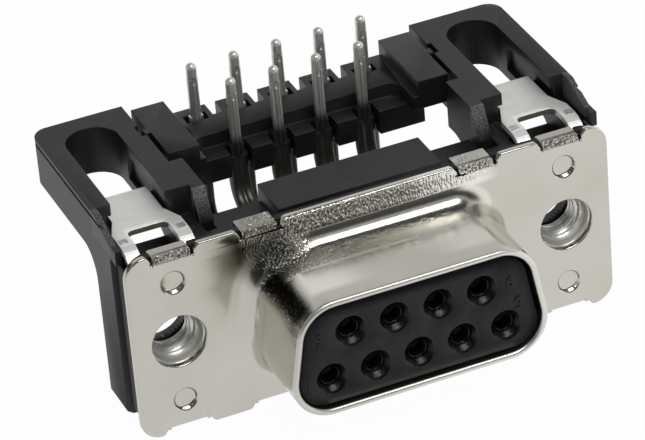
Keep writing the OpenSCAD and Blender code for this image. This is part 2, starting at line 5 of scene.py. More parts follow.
import bmesh
import bpy
from mathutils import Matrix, Vector
from mathutils.geometry import tessellate_polygon


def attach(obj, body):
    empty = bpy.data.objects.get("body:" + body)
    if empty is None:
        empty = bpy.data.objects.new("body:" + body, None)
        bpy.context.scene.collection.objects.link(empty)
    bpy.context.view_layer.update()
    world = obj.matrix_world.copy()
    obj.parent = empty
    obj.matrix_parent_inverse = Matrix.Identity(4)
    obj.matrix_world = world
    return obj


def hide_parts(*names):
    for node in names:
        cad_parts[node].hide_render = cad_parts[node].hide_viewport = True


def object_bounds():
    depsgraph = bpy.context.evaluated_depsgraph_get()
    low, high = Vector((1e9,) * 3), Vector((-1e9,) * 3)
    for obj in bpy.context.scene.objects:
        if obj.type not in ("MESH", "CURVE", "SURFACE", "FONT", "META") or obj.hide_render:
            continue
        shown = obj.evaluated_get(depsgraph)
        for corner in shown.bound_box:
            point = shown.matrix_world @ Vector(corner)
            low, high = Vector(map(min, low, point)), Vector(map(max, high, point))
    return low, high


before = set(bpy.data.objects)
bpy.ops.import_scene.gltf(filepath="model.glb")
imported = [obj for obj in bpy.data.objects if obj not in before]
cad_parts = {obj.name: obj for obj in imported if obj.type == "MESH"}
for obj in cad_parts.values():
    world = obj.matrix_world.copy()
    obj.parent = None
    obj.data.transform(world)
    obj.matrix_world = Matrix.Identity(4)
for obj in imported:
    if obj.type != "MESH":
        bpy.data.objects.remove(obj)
cad_low, cad_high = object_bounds()

MM = 0.001
FULL_TURN = 2 * math.pi
HALF_TURN = math.pi
QUARTER_TURN = math.pi / 2

# ---------- sizes in millimetres: the frame is x right, y back, z up from the flange face ----------

# flange and the tabs that clinch it; a tab is (place of its middle along x, width, reach back)
HOLE_X = 12.495
FLANGE_HALF_LENGTH = 15.4
FLANGE_HALF_HEIGHT = 6.2
FLANGE_CORNER = 1.3
SHEET = 0.4
EDGE_ROUND = 0.09
BACK_EDGE_ROUND = EDGE_ROUND * 0.7
SCREW_HOLE_R = 1.7
OUTER_TAB = (12.4, 2.3, 1.2)
INNER_TAB = (6.9, 2.2, 1.6)
TAB_BEND = 0.45
TAB_TOP = 5.95
TAB_FOOT = TAB_TOP - TAB_BEND
TAB_TIP_EASE = 0.06
TAB_EDGE_EASE = 0.05
TAB_SIDE_DRAW = 0.03
NOTCH_WIDTH = 0.18
NOTCH_RUN = 0.42
NOTCH_DROP = 0.39
NOTCH_TURN_R = 0.288
NOTCH_FLOOR = TAB_FOOT + 0.04
LEAST_STEP = 0.02
LOWER_NOTCH_FLOOR = TAB_TOP - 0.05

# pressed dimples: (wider than its radius, deeper than the sheet's face) from the rim to the middle
DIMPLE_R = 0.72
DIMPLE_Z = 4.06
DIMPLE_DEPTH = 0.25
DIMPLE_FRONT = [(0.14, 0.0), (0.09, 0.008), (0.04, 0.035), (0.0, 0.08), (-0.05, 0.18),
                (-0.09, 0.225), (-0.15, DIMPLE_DEPTH)]
DIMPLE_BACK = [(0.06, 0.0), (0.02, 0.02), (0.0, 0.06), (-0.02, 0.18), (-0.07, 0.235),
               (-0.14, DIMPLE_DEPTH)]

# drawn D shell
SHELL_TOP = 3.95
SHELL_FLOOR = -3.67
SHELL_HALF_WIDTH = 7.95
SHELL_CORNER = 2.5
SIDE_ANGLE = math.radians(10)
SHELL_DEPTH = 6.35
ROOT_RADIUS = 1.6
ROOT_FLAT = ROOT_RADIUS + 0.1
RIM_RADIUS = 0.2

# insulator face; its lower edge is let down, and its lower corners drawn in, from the solid's
FACE_Y = -5.98
PITCH = 2.77
ROW_Z = 1.42
FACE_CORNER_R = 1.55
FACE_CORNER_Z = -1.5
FACE_CORNER_X = 5.979
SOLID_CORNER_X = 6.184
LET_DOWN = 0.2
LET_DOWN_FROM = -1.25
FUNNEL_R = 1.1
ENTRY_R = 1.02
ENTRY_REAR = -1.0

# sleeve that closes in an entry: its rounded lip closes the entry, and its rear part, reaching into the
# contact's bore, is a black lining standing for the shade deep in the socket
SLEEVE_FRONT = FACE_Y + 0.44
SLEEVE_R = 0.612
SLEEVE_LIP_R = 0.585
SLEEVE_THROAT_R = 0.515
SLEEVE_BORE_R = 0.5
SLEEVE_COLLAR = 0.43
SLEEVE_LENGTH = 0.9

# raised contact numbers: (number, x, z) of each
NUMBERS = (("6", -6.2, 1.46), ("1", -7.0, -1.36), ("5", 6.35, -0.05), ("9", 5.9, 1.55))
NUMBER_HEIGHT = 1.15
NUMBER_RISE = 0.03
NUMBER_EDGE = 0.012
NUMBER_SUNK = 0.01

# threaded inserts, seated in the plate behind the flange
SEAT_Y = 0.41
PLATE_BACK = 0.91
INSERT_REAR = 2.62
INSERT_HEAD_R = 2.35
INSERT_BODY_R = 1.98
MOUTH_R = 1.67
THREAD_R = 1.42
THREAD_DEPTH = 0.2
THREAD_PITCH = 0.635
THREAD_START = 1.22
THREAD_END = INSERT_REAR - 0.05
THREAD_LEAD_IN = 0.3
THREAD_LEAD_OUT = 0.15
THREAD_STEEPNESS = 1.7
THREAD_ROOT_SHARE = 0.25

# brackets: hole behind an insert, and the ledges under the strap (x from the hole's axis, y, z)
REAR_HOLE_R = 1.86
REAR_HOLE_START = 3.9
REAR_HOLE_SOLID_R = 1.75
LEDGE_SIZE = (0.85, 3.15, 0.28)
LEDGE_X = 1.525
LEDGE_Y = 6.325
LEDGE_Z = 5.29

# solder tails: their tips, the dent near each, and the middle between their two rows
TAIL_TIP_Z = 9.97
DENT_BELOW_TIP = 1.15
ROW_GAP_Y = 11.7


# ---------- node trees ----------

class Wire:
    """One output of a node, so that sums on values read as Python sums."""

    def __init__(self, tree, socket):
        self.tree = tree
        self.socket = socket

    def sum(self, operation, first, second=0.0):
        made = self.tree.add("ShaderNodeMath", {"operation": operation}, {0: first, 1: second})
        return made.out()

    def __add__(self, other):
        return self.sum("ADD", self, other)

    def __sub__(self, other):
        return self.sum("SUBTRACT", self, other)

    def __rsub__(self, other):
        return self.sum("SUBTRACT", other, self)

    def __mul__(self, other):
        return self.sum("MULTIPLY", self, other)

    def __truediv__(self, other):
        return self.sum("DIVIDE", self, other)

    __radd__ = __add__
    __rmul__ = __mul__

    def size(self):
        return self.sum("ABSOLUTE", self)

    def low(self, other):
        return self.sum("MINIMUM", self, other)

    def high(self, other):
        return self.sum("MAXIMUM", self, other)

    def power(self, other):
        return self.sum("POWER", self, other)

    def step(self, start, end):
        """0 up to start, then smoothly up to 1 at end."""
        made = self.tree.add(
            "ShaderNodeMapRange",
            {"interpolation_type": "SMOOTHSTEP"},
            {"Value": self, "From Min": start, "From Max": end, "To Min": 0.0, "To Max": 1.0},
        )
        return made.out()

    def within(self, low, high, soft):
        """1 between low and high, fading to 0 over soft on each side."""
        return self.step(low - soft, low) * (1 - self.step(high, high + soft))


class Made:
    """A node just added, and its outputs."""

    def __init__(self, tree, node):
        self.tree = tree
        self.node = node

    def out(self, name=0):
        return Wire(self.tree, self.node.outputs[name])


class Tree:
    """A node tree and the one method that adds a node to it."""

    def __init__(self, tree):
        self.tree = tree

    def add(self, kind, settings=None, sockets=None):
        """A node of that kind: its settings first, then the values or links of its sockets."""
        node = self.tree.nodes.new(kind)
        for key, value in (settings or {}).items():
            setattr(node, key, value)
        for key, value in (sockets or {}).items():
            if isinstance(value, Wire):
                self.tree.links.new(value.socket, node.inputs[key])
            else:
                node.inputs[key].default_value = value
        return Made(self, node)

    def place(self):
        """Object coordinates in millimetres: the vector, and its x, y and z."""
        metres = self.add("ShaderNodeTexCoord").out("Object")
        spot = self.add("ShaderNodeVectorMath", {"operation": "SCALE"}, {0: metres, "Scale": 1 / MM})
        axes = self.add("ShaderNodeSeparateXYZ", {}, {0: spot.out()})
        return spot.out(), axes.out("X"), axes.out("Y"), axes.out("Z")

    def noise(self, spot, scale, detail=2.0, roughness=0.5, distortion=0.0):
        """Cloudy noise from 0 to 1, with scale patches to the millimetre."""
        made = self.add(
            "ShaderNodeTexNoise",
            {"noise_dimensions": "3D"},
            {"Vector": spot, "Scale": scale, "Detail": detail, "Roughness": roughness,
             "Distortion": distortion},
        )
        return made.out("Fac")

    def blend(self, mask, first, second):
        """A colour that is first where mask is 0 and second where it is 1."""
        made = self.add("ShaderNodeMix", {"data_type": "RGBA"}, {0: mask, 6: first, 7: second})
        return made.out(2)

    def stretch(self, spot, x, y, z):
        """The place scaled along each axis, to draw a pattern out."""
        made = self.add("ShaderNodeVectorMath", {"operation": "MULTIPLY"}, {0: spot, 1: (x, y, z)})
        return made.out()

    def bump(self, height, depth, strength=1.0, normal=None):
        """A normal from a height that runs 0 to 1 over depth millimetres."""
        sockets = {"Height": height, "Distance": depth * MM, "Strength": strength}
        if normal is not None:
            sockets["Normal"] = normal
        return self.add("ShaderNodeBump", {}, sockets).out()


class Finish(Tree):
    """A material, made from its name and its plain values."""

    def __init__(self, name, colour, roughness, metallic=0.0):
        self.material = bpy.data.materials.new(name)
        self.material.use_nodes = True
        super().__init__(self.material.node_tree)
        self.surface = self.tree.nodes["Principled BSDF"]
        self.give("Base Color", (*colour, 1.0))
        self.give("Roughness", roughness)
        self.give("Metallic", metallic)

    def give(self, name, value):
        """Sets or links an input of the surface shader."""
        if isinstance(value, Wire):
            self.tree.links.new(value.socket, self.surface.inputs[name])
        else:
            self.surface.inputs[name].default_value = value


def rgba(red, green, blue):
    """A colour as a socket takes it."""
    return (red, green, blue, 1.0)


# ---------- finishes ----------

def satin_nickel():
    """Nickel plate on drawn steel: satin on the flats, stretched and crinkled above the D."""
    make = Finish("satin_nickel", (0.6, 0.585, 0.53), 0.2, 1.0)
    spot, x, y, z = make.place()
    forward = y * -1
    cloud = make.noise(spot, 0.22, 2.0)
    fine = make.noise(spot, 14.0, 2.0)
    grain = make.noise(make.stretch(spot, 1.4, 1.0, 0.75), 5.8, 0.8, 0.5, 0.3)
    speck = make.noise(spot, 7.5, 1.0, 0.5)

    to_left = 1 - x.step(-7.0, 6.0)
    over_d = 1 - x.size().step(6.6, 8.4)
    flat = 1 - forward.step(0.05, 0.22)

    # crinkled strip of the flange above the D, and the crest of the root below it
    strip = z.within(5.1, 5.98, 0.25) * flat * over_d * (0.2 + to_left * 0.8)
    crest = forward.within(1.25, 2.0, 0.6) * z.step(3.3, 3.7) * over_d
    crest = crest * (0.08 + to_left * 0.3)

    # dark swirl in the root over the left corner, and the dark corner of the D itself: where shade is
    # painted
    heart = ((x + 6.1).power(2.0) * 0.5 + (z - 4.6).power(2.0) + (y + 0.5).power(2.0)).power(0.5)
    swirl = (1 - heart.step(0.3, 1.7)) * (1 - (z * -1 - 3.0).step(0.0, 1.0))
    from_corner = (x + 7.2).size() + (z - 3.2).size()
    corner = (1 - from_corner.step(0.6, 1.7)) * forward.within(1.0, 5.4, 0.6)

    # bends of the upper clinch tabs, and flat tops of them all
    on_inner, on_outer = (x.size().within(centre - width / 2 - 0.05, centre + width / 2 + 0.05, 0.1)
                          for centre, width, _ in (INNER_TAB, OUTER_TAB))
    on_tab = (on_inner + on_outer).low(1.0)
    tab_bend = on_tab * z.step(TAB_FOOT, TAB_FOOT + 0.12) * (1 - y.step(0.35, 0.6)) * y.step(-0.02, 0.02)
    tab_top = on_tab * z.size().step(TAB_TOP - 0.23, TAB_TOP - 0.13) * y.step(0.2, SHEET)

    # painted sheen: the top of the D is painted lighter, and a patch of the flange to its right too
    painted_sheen = z.step(3.7, 3.9) * forward.within(1.9, 4.6, 0.8) * x.size().step(1.5, 4.5)
    painted_sheen = painted_sheen * (0.6 + to_left * 0.6)
    painted_sheen = painted_sheen.high(z.within(4.9, 6.2, 0.4) * flat * x.within(3.5, 7.0, 1.5))
    nickel = make.blend(cloud.step(0.35, 0.75), rgba(0.62, 0.605, 0.55), rgba(0.585, 0.57, 0.51))
    nickel = make.blend((painted_sheen * 0.8).low(1.0), nickel, rgba(0.95, 0.93, 0.87))

    # painted shade darkens the flange left of the D where its root begins, and a painted dark reflection
    # lies over its upper left corner
    painted_root_shade = (1 - (x + 9.2).size().step(0.3, 2.4)) * flat * z.step(-2.0, 4.5)
    nickel = make.blend(painted_root_shade * 0.5, nickel, rgba(0.33, 0.31, 0.24))
    painted_dark_reflection = ((x + 7.9).power(2.0) * 0.5 + (z - 4.4).power(2.0)).power(0.5)
    painted_dark_reflection = (1 - painted_dark_reflection.step(0.4, 2.0)) * (1 - forward.step(0.8, 1.6))
    nickel = make.blend(painted_dark_reflection * (0.7 + fine * 0.25), nickel, rgba(0.045, 0.04, 0.028))

    # painted shade and dark reflections in the creases of the swirl, the corner, the strip and the tab
    # bends
    painted_shade = swirl * (0.65 + grain.step(0.4, 0.56) * 0.35)
    painted_shade = painted_shade.high(corner * speck.step(0.25, 0.5)).low(1.0)
    nickel = make.blend(painted_shade * 0.94, nickel, rgba(0.02, 0.019, 0.015))
    nickel = make.blend(strip * grain.step(0.48, 0.56) * 0.85, nickel, rgba(0.16, 0.15, 0.13))
    nickel = make.blend(tab_bend * speck.step(0.48, 0.58) * 0.8, nickel, rgba(0.1, 0.09, 0.07))

    # paler tab tops, and the rim painted paler as a highlight, more on the right than on the left
    nickel = make.blend(tab_top * 0.6, nickel, rgba(0.56, 0.54, 0.49))
    rim = forward.step(SHELL_DEPTH - 0.23, SHELL_DEPTH - 0.13)
    nickel = make.blend(rim * (0.75 - to_left * 0.5), nickel, rgba(0.82, 0.81, 0.77))
    make.give("Base Color", nickel)
    make.give("Roughness", 0.13 + fine * 0.08 + cloud * 0.04 + rim * 0.2 + tab_top * 0.12)
    normal = make.bump(fine, 0.003, 0.6)
    normal = make.bump(grain * strip.high(swirl * 0.9).high(crest), 0.28, 1.0, normal)
    normal = make.bump(speck * tab_bend, 0.3, 1.0, normal)
    make.give("Normal", normal)
    return make.material


def moulded_plastic(name, colour, roughness, specular, lit_patches=False):
    """Glass-filled black plastic with a fine grain, and light painted on rough patches of a bracket."""
    make = Finish(name, colour, roughness)
    make.give("Specular IOR Level", specular)
    spot, x, y, z = make.place()
    cloud = make.noise(spot, 0.6, 3.0)
    fine = make.noise(spot, 9.0, 3.0, 0.6)
    fibres = make.noise(spot, 16.0, 1.0, 0.6)
    lighter = rgba(*(part * 1.8 for part in colour))
    shade = make.blend(cloud.step(0.3, 0.8), rgba(*colour), lighter)
    shade = make.blend(fibres.step(0.64, 0.74) * 0.4, shade, rgba(0.06, 0.06, 0.06))
    height = fine * 0.5 + fibres * 0.5
    if lit_patches:
        # rough patches of a bracket with painted light on them: its front slope, the groove beside the
        # strap and its outer wall
        wide = x.size()
        slope = wide.within(8.5, 9.45, 0.02) * y.within(3.1, 4.2, 0.05) * z.step(5.2, 6.9)
        groove = wide.within(10.4, 10.95, 0.02) * y.within(5.4, 10.2, 0.8) * z.within(5.6, 7.1, 0.1)
        wall = wide.step(14.92, 14.98) * y.within(2.0, 4.9, 0.1) * z.within(5.7, 7.25, 0.1)
        patch = slope.high(groove).high(wall)
        patch_noise = make.noise(spot, 13.0, 4.0, 0.7)
        painted_light = patch * patch_noise.step(0.38, 0.64) * (0.7 - wall * 0.3)
        shade = make.blend(painted_light, shade, rgba(0.3, 0.3, 0.29))
        height = height + patch * patch_noise * 1.5
    make.give("Base Color", shade)
    make.give("Roughness", roughness - 0.05 + fine * 0.1)
    make.give("Normal", make.bump(height, 0.03, 0.8))
    return make.material


def contact_plating():
    """Contacts: gold deep in the socket, the leg painted dark as shade, brighter tin on the tail."""
    make = Finish("contact_plating", (0.5, 0.49, 0.45), 0.34, 0.85)
    spot, x, y, z = make.place()
    fine = make.noise(spot, 7.0, 3.0)
    tail = z.step(5.4, 6.4)
    socket = 1 - y.step(-1.0, 0.5)
    # the leg below the tail is painted dark as shade; the tail keeps its tin colour
    tin = make.blend(tail, rgba(0.1, 0.096, 0.085), rgba(0.75, 0.74, 0.7))
    make.give("Base Color", make.blend(socket, tin, rgba(0.8, 0.55, 0.22)))
    make.give("Roughness", 0.34 + fine * 0.16 - socket * 0.22)

    # an oval dent near the tip of each tail; the front row stands half a pitch aside
    back_row = y.step(ROW_GAP_Y - 0.1, ROW_GAP_Y + 0.1)
    pitches = x / PITCH + 0.5 * (1 - back_row) + 20.5
    across = (pitches - pitches.sum("FLOOR", pitches) - 0.5) * PITCH
    along = (z - TAIL_TIP_Z + DENT_BELOW_TIP) * 0.5
    dent = 1 - (across.power(2.0) + along.power(2.0)).power(0.5).step(0.07, 0.14)
    normal = make.bump(fine, 0.006, 0.7)
    make.give("Normal", make.bump(1 - dent * (1 - socket), 0.06, 1.0, normal))
    return make.material


def matte_tin():
    """Stamped strap: matte tin, scuffed, with painted highlights at the bends."""
    make = Finish("matte_tin_strap", (0.72, 0.72, 0.69), 0.42, 0.6)
    spot, x, y, z = make.place()
    cloud = make.noise(spot, 0.9, 3.0, 0.6)
    fine = make.noise(spot, 10.0, 3.0)
    scuffs = make.noise(spot, 4.0, 4.0, 0.7, 0.8)
    shade = make.blend(cloud.step(0.4, 0.72), rgba(0.88, 0.88, 0.85), rgba(0.82, 0.82, 0.79))
    shade = make.blend(scuffs.step(0.63, 0.72) * 0.3, shade, rgba(0.5, 0.5, 0.47))

    # painted highlight at the bend and round the window, painted shade inside it, and a dark pad beside
    # it
    across = (x.size() - HOLE_X).size()
    painted_highlight = (1 - y.step(1.6, 3.3)).high((1 - across.step(1.3, 1.5)) * y.within(1.0, 4.05, 0.05))
    shade = make.blend(painted_highlight * 0.9, shade, rgba(1.0, 1.0, 0.98))
    inside = (1 - across.step(1.2, 1.32)) * y.within(0.9, 3.85, 0.05) * (1 - z.step(5.76, 5.83))
    shade = make.blend(inside * 0.9, shade, rgba(0.25, 0.225, 0.16))
    pad = across.within(1.55, 2.05, 0.03) * y.within(2.6, 3.1, 0.03) * z.step(5.5, 5.6)
    shade = make.blend(pad * (0.4 + fine.step(0.4, 0.6) * 0.5), shade, rgba(0.3, 0.29, 0.25))
    make.give("Base Color", shade)
    make.give("Roughness", 0.42 + cloud * 0.14 - painted_highlight * 0.12)
    make.give("Normal", make.bump(fine * 0.4 + scuffs * 0.6 + pad * 2.0, 0.016, 0.7))
    return make.material


def turned_steel():
    """Threaded insert: plated turned steel with fine rings round its axis."""
    make = Finish("plated_insert", (0.78, 0.775, 0.745), 0.3, 0.8)
    spot = make.place()[0]
    rings = make.noise(make.stretch(spot, 0.25, 6.0, 0.25), 1.0, 2.0)
    make.give("Roughness", 0.26 + rings * 0.12)
    make.give("Normal", make.bump(rings, 0.004, 0.4))
    return make.material


NICKEL = satin_nickel()
BLACK = moulded_plastic("black_moulding", (0.007, 0.007, 0.0075), 0.42, 0.4)
BRACKET_BLACK = moulded_plastic("bracket_moulding", (0.007, 0.007, 0.0075), 0.42, 0.4, lit_patches=True)
FACE_BLACK = moulded_plastic("face_moulding", (0.0115, 0.0115, 0.0135), 0.5, 0.2)
ENTRY_BLACK = moulded_plastic("entry_moulding", (0.003, 0.003, 0.0035), 0.18, 0.3)
TAILS = contact_plating()
TIN = matte_tin()
STEEL = turned_steel()


# ---------- mesh helpers ----------

def in_scene(name, data):
    """An object of that name with that data, put in the scene at the origin."""
    made = bpy.data.objects.new(name, data)
    bpy.context.scene.collection.objects.link(made)
    return made


def new_piece(name, bm, material, smooth_degrees=30.0):
    """A finished piece from mesh data in metres, closed and facing outwards."""
    mesh = bpy.data.meshes.new(name)
    bmesh.ops.recalc_face_normals(bm, faces=bm.faces)
    bm.to_mesh(mesh)
    bm.free()
    mesh.materials.append(material)
    for face in mesh.polygons:
        face.use_smooth = True
    mesh.set_sharp_from_angle(angle=math.radians(smooth_degrees))
    return in_scene(name, mesh)


def evaluated_mesh(piece):
    """The piece's shape as a plain mesh, with its modifiers applied."""
    graph = bpy.context.evaluated_depsgraph_get()
    return bpy.data.meshes.new_from_object(piece.evaluated_get(graph))


def apply_modifiers(piece):
    """Turns the piece's modifiers into plain mesh."""
    mesh = evaluated_mesh(piece)
    piece.modifiers.clear()
    piece.data = mesh


def merged_copy(node):
    """Mesh data of a CAD node with its loose triangles joined at their corners."""
    bm = bmesh.new()
    bm.from_mesh(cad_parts[node].data)
    bmesh.ops.remove_doubles(bm, verts=bm.verts, dist=0.002 * MM)
    return bm


def settle(piece, node=None):
    """Fixes the piece to the connector's one body and for its node if it has one."""
    if node:
        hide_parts(node)
    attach(piece, "root")


def rounded_copy(node, material, width):
    """A copy of a CAD node with its sharp edges slightly rounded, standing for the node."""
    piece = new_piece(node + "_finished", merged_copy(node), material)
    bevel = piece.modifiers.new("edge", "BEVEL")
    bevel.width = width * MM
    bevel.segments = 2
    bevel.limit_method = "ANGLE"
    bevel.angle_limit = math.radians(35)
    bevel.use_clamp_overlap = False
    bevel.harden_normals = True
    apply_modifiers(piece)
    settle(piece, node)
    return piece


def arc(x, z, radius, start, end, steps):
    """Points on an arc round (x, z), from one angle to the other with both ends."""
    angles = [start + (end - start) * k / steps for k in range(steps + 1)]
    return [(x + radius * math.cos(a), z + radius * math.sin(a)) for a in angles]


def straight(first, last, steps):
    """Points on the line between two others, without its ends."""
    return [(first[0] + (last[0] - first[0]) * k / steps,
             first[1] + (last[1] - first[1]) * k / steps) for k in range(1, steps)]


def round_loop(x, z, radius, steps):
    """Points round a circle, anticlockwise from its +x side."""
    return arc(x, z, radius, 0.0, FULL_TURN, steps)[:-1]


def add_loop(bm, points, y):
    """Corners at the given (x, z) points in millimetres, all at the depth y."""
    return [bm.verts.new((x * MM, y * MM, z * MM)) for x, z in points]


def join_loops(bm, first, second):
    """A band of four-sided faces between two closed loops of as many corners."""
    for i in range(len(first)):
        k = (i + 1) % len(first)
        bm.faces.new((first[i], first[k], second[k], second[i]))


def join_stack(bm, loops):
    """Bands between each loop and the next."""
    for first, second in zip(loops, loops[1:]):
        join_loops(bm, first, second)


# ---------- D outline ----------

def d_centres():
    """Centres of the four corner arcs of the D, anticlockwise from the lower one on the +x side."""
    rise = SHELL_CORNER * math.sin(SIDE_ANGLE)
    spots = []
    for z in (SHELL_FLOOR + SHELL_CORNER, SHELL_TOP - SHELL_CORNER):
        wall = SHELL_HALF_WIDTH - math.tan(SIDE_ANGLE) * (z + rise)
        spots.append((wall - SHELL_CORNER * math.cos(SIDE_ANGLE), z))
    (low_x, low_z), (top_x, top_z) = spots
    return [(low_x, low_z), (top_x, top_z), (-top_x, top_z), (-low_x, low_z)]


def d_ring(offset, corner_steps=20, side_steps=(6, 24, 6, 30)):
    """Points round the D at that offset outwards from its wall, anticlockwise seen from the front."""
    turns = [
        (-QUARTER_TURN, SIDE_ANGLE),
        (SIDE_ANGLE, QUARTER_TURN),
        (QUARTER_TURN, HALF_TURN - SIDE_ANGLE),
        (HALF_TURN - SIDE_ANGLE, HALF_TURN + QUARTER_TURN),
    ]
    corners = [arc(x, z, SHELL_CORNER + offset, start, end, corner_steps)
               for (x, z), (start, end) in zip(d_centres(), turns)]
    ring = []
    for corner, following, steps in zip(corners, corners[1:] + corners[:1], side_steps):
        ring += corner + straight(corner[-1], following[0], steps)
    return ring


def shell_profile(arc_steps=14, wall_steps=8, rim_steps=16):
    """(offset, forward) of the drawn wall, from the flange face over the rim to the flange back."""
    wall_end = SHELL_DEPTH - RIM_RADIUS
    root = arc(ROOT_RADIUS, ROOT_RADIUS, ROOT_RADIUS, -QUARTER_TURN, -HALF_TURN, arc_steps)
    wall = straight((0.0, ROOT_RADIUS), (0.0, wall_end), wall_steps)
    rim = arc(-RIM_RADIUS, wall_end, RIM_RADIUS, 0.0, HALF_TURN, rim_steps)
    inner_root = arc(ROOT_RADIUS, ROOT_RADIUS, ROOT_RADIUS + SHEET, HALF_TURN,
                     HALF_TURN + QUARTER_TURN, arc_steps)
    return [(ROOT_FLAT, 0.0)] + root + wall + rim + inner_root + [(ROOT_FLAT, -SHEET)]


# ---------- front shell ----------

def notch_end(outer, toward):
    """Sloping end of a tab's recess, from the flange's edge down to the notch, with an eased turn."""
    turn = arc(outer + toward * NOTCH_RUN, FLANGE_HALF_HEIGHT - NOTCH_TURN_R, NOTCH_TURN_R,
               QUARTER_TURN, QUARTER_TURN + toward * QUARTER_TURN / 2, 4)
    spots = turn + [(outer, FLANGE_HALF_HEIGHT - NOTCH_DROP), (outer, NOTCH_FLOOR)]
    return [(x, z, False) for x, z in spots]


def tab_recess(centre, width):
    """The recess of a tab in the upper edge, from its right end to its left, with the tab's foot."""
    right, left = centre + width / 2, centre - width / 2
    foot = [(right, NOTCH_FLOOR, False), (right, TAB_FOOT, True), (left, TAB_FOOT, True),
            (left, NOTCH_FLOOR, False)]
    return notch_end(right + NOTCH_WIDTH, 1) + foot + notch_end(left - NOTCH_WIDTH, -1)[::-1]


def flange_edge():
    """Outline of the flange, anticlockwise: x, z, and whether the point stays sharp."""
    tabs = [(centre, width) for centre, width, _ in (OUTER_TAB, INNER_TAB)]
    tabs += [(-centre, width) for centre, width in reversed(tabs)]
    top = [spot for centre, width in tabs for spot in tab_recess(centre, width)]
    corner = arc(FLANGE_HALF_LENGTH - FLANGE_CORNER, FLANGE_HALF_HEIGHT - FLANGE_CORNER,
                 FLANGE_CORNER, 0.0, QUARTER_TURN, 8)
    corner = [(x, z, False) for x, z in corner if x > top[0][0] + LEAST_STEP]
    upper = corner + top + [(-x, z, sharp) for x, z, sharp in reversed(corner)]
    lower = [(-x, -LOWER_NOTCH_FLOOR if z == NOTCH_FLOOR else -z, sharp) for x, z, sharp in upper]
    return upper + lower


def moved_in(loop, distance, keep, least_cosine=0.5):
    """The loop moved inwards by distance, except where keep is true; sharp turns are held back."""
    count = len(loop)
    moved = []
    for i in range(count):
        spot, before, after = Vector(loop[i]), Vector(loop[i - 1]), Vector(loop[(i + 1) % count])
        first, second = (spot - before).normalized(), (after - spot).normalized()
        normal = Vector((-first.y, first.x))
        middle = normal + Vector((-second.y, second.x))
        if middle.length < 1e-6 or keep[i]:
            moved.append((spot.x, spot.y))
            continue
        middle.normalize()
        spot = spot + middle * (distance / max(least_cosine, middle.dot(normal)))
        moved.append((spot.x, spot.y))
    return moved


def fill_between(bm, loops):
    """Flat faces inside the first loop and outside the others."""
    flat = [[Vector((v.co.x, v.co.z, 0.0)) for v in loop] for loop in loops]
    verts = [v for loop in loops for v in loop]
    for a, b, c in tessellate_polygon(flat):
        bm.faces.new((verts[a], verts[b], verts[c]))


def edge_steps(radius, steps=3):
    """(inwards, down) along a rounded edge of that radius, from the flat face to the side."""
    return [(radius * (1 - math.sin(QUARTER_TURN * k / steps)),
             radius * (1 - math.cos(QUARTER_TURN * k / steps))) for k in range(steps + 1)]


def sheet_edge(bm, outline):
    """An edge through the sheet, rounded at both faces; gives its front and back loops.

    The outline is a function of the distance inwards from the edge.
    """
    stack = [add_loop(bm, outline(inwards), down) for inwards, down in edge_steps(EDGE_ROUND)]
    stack += [add_loop(bm, outline(inwards), SHEET - down)
              for inwards, down in reversed(edge_steps(BACK_EDGE_ROUND))]
    join_stack(bm, stack)
    return stack[0], stack[-1]


def dimple(bm, x, z, face_y, levels):
    """One side of a pressed dimple, from its rim on that face to its floor; gives the rim."""
    stack = [add_loop(bm, round_loop(x, z, DIMPLE_R + wide, 40), face_y + down)
             for wide, down in levels]
    join_stack(bm, stack)
    bm.faces.new(stack[-1])
    return stack[0]


def drawn_front():
    """The front shell as one sheet: flange, screw holes, dimples, the drawn D and the tabs."""
    bm = bmesh.new()
    outline = flange_edge()
    points = [(x, z) for x, z, _ in outline]
    keep = [sharp for _, _, sharp in outline]
    fronts, backs = [], []
    front_loop, back_loop = sheet_edge(bm, lambda inwards: moved_in(points, inwards, keep))
    fronts.append(front_loop)
    backs.append(back_loop)
    for x in (-HOLE_X, HOLE_X):
        front_loop, back_loop = sheet_edge(
            bm, lambda inwards: round_loop(x, 0, SCREW_HOLE_R + inwards, 64))
        fronts.append(front_loop)
        backs.append(back_loop)
        for z in (-DIMPLE_Z, DIMPLE_Z):
            fronts.append(dimple(bm, x, z, 0.0, DIMPLE_FRONT))
            backs.append(dimple(bm, x, z, SHEET, DIMPLE_BACK))

    rings = [add_loop(bm, d_ring(offset), -forward) for offset, forward in shell_profile()]
    join_stack(bm, rings)
    fronts.append(rings[0])
    backs.append(rings[-1])
    fill_between(bm, fronts)
    fill_between(bm, backs)
    for side in (-1, 1):
        for end in (-1, 1):
            for centre, width, reach in (OUTER_TAB, INNER_TAB):
                add_tab(bm, side * centre, width, reach, end)
    return new_piece("drawn_front", bm, NICKEL, 32.0)


